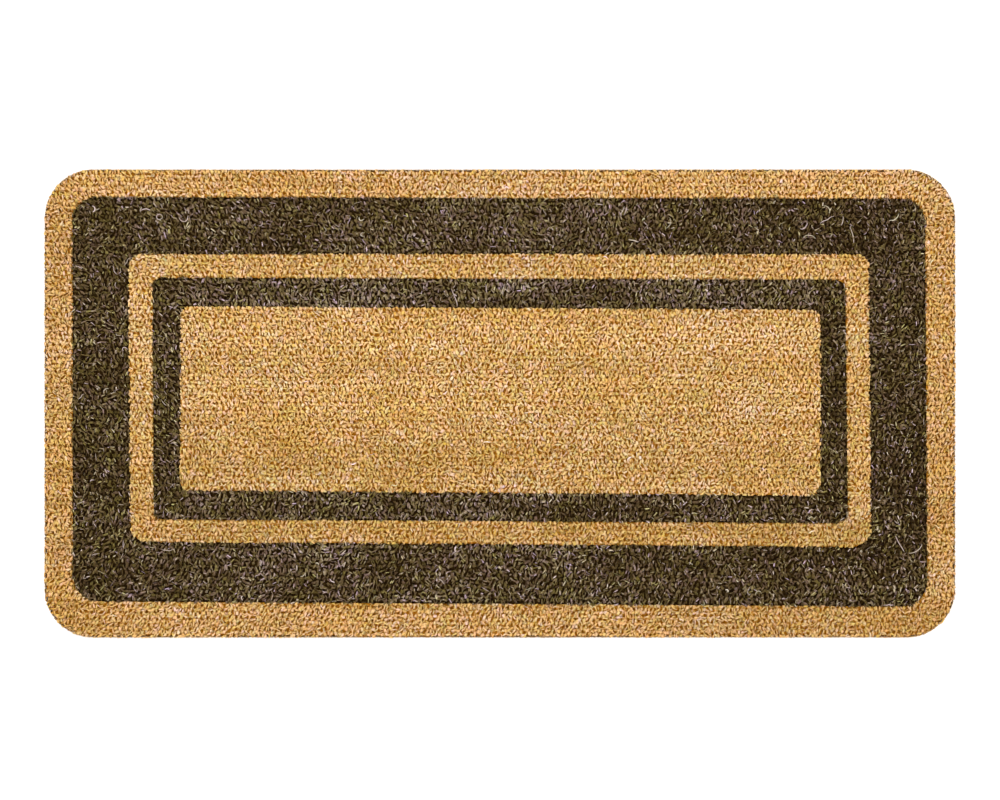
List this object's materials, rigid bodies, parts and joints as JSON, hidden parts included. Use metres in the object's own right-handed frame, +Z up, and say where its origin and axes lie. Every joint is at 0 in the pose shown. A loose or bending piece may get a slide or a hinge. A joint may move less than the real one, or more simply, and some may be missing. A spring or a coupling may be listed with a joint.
{
  "type": "door mat",
  "caption": "Rectangular coir door mat with rounded die-cut corners on a thin vinyl backing, its natural pile dyed with a wide and a narrow dark frame around a plain field.",
  "frame": {"origin": "middle of the flat underside, on the floor", "axes": "+X along the mat's length, +Y across its width towards the edge shown uppermost, +Z up out of the pile"},
  "size_m": [0.9144, 0.4696, 0.015],
  "materials": {
    "vinyl_backing": "matt dark vinyl sheet with the fibres' butts set in it",
    "coir_natural": "undyed golden coconut fibre, dry and rough",
    "coir_dyed": "coconut fibre dyed dark brown-black, slightly greyed at the tips"
  },
  "bodies": {
    "root": {"backing_sheet": "vinyl_backing", "pile_outer_margin": "coir_natural", "pile_wide_frame": "coir_dyed", "pile_natural_line": "coir_natural", "pile_narrow_frame": "coir_dyed", "pile_centre_field": "coir_natural"}
  },
  "joints": []
}
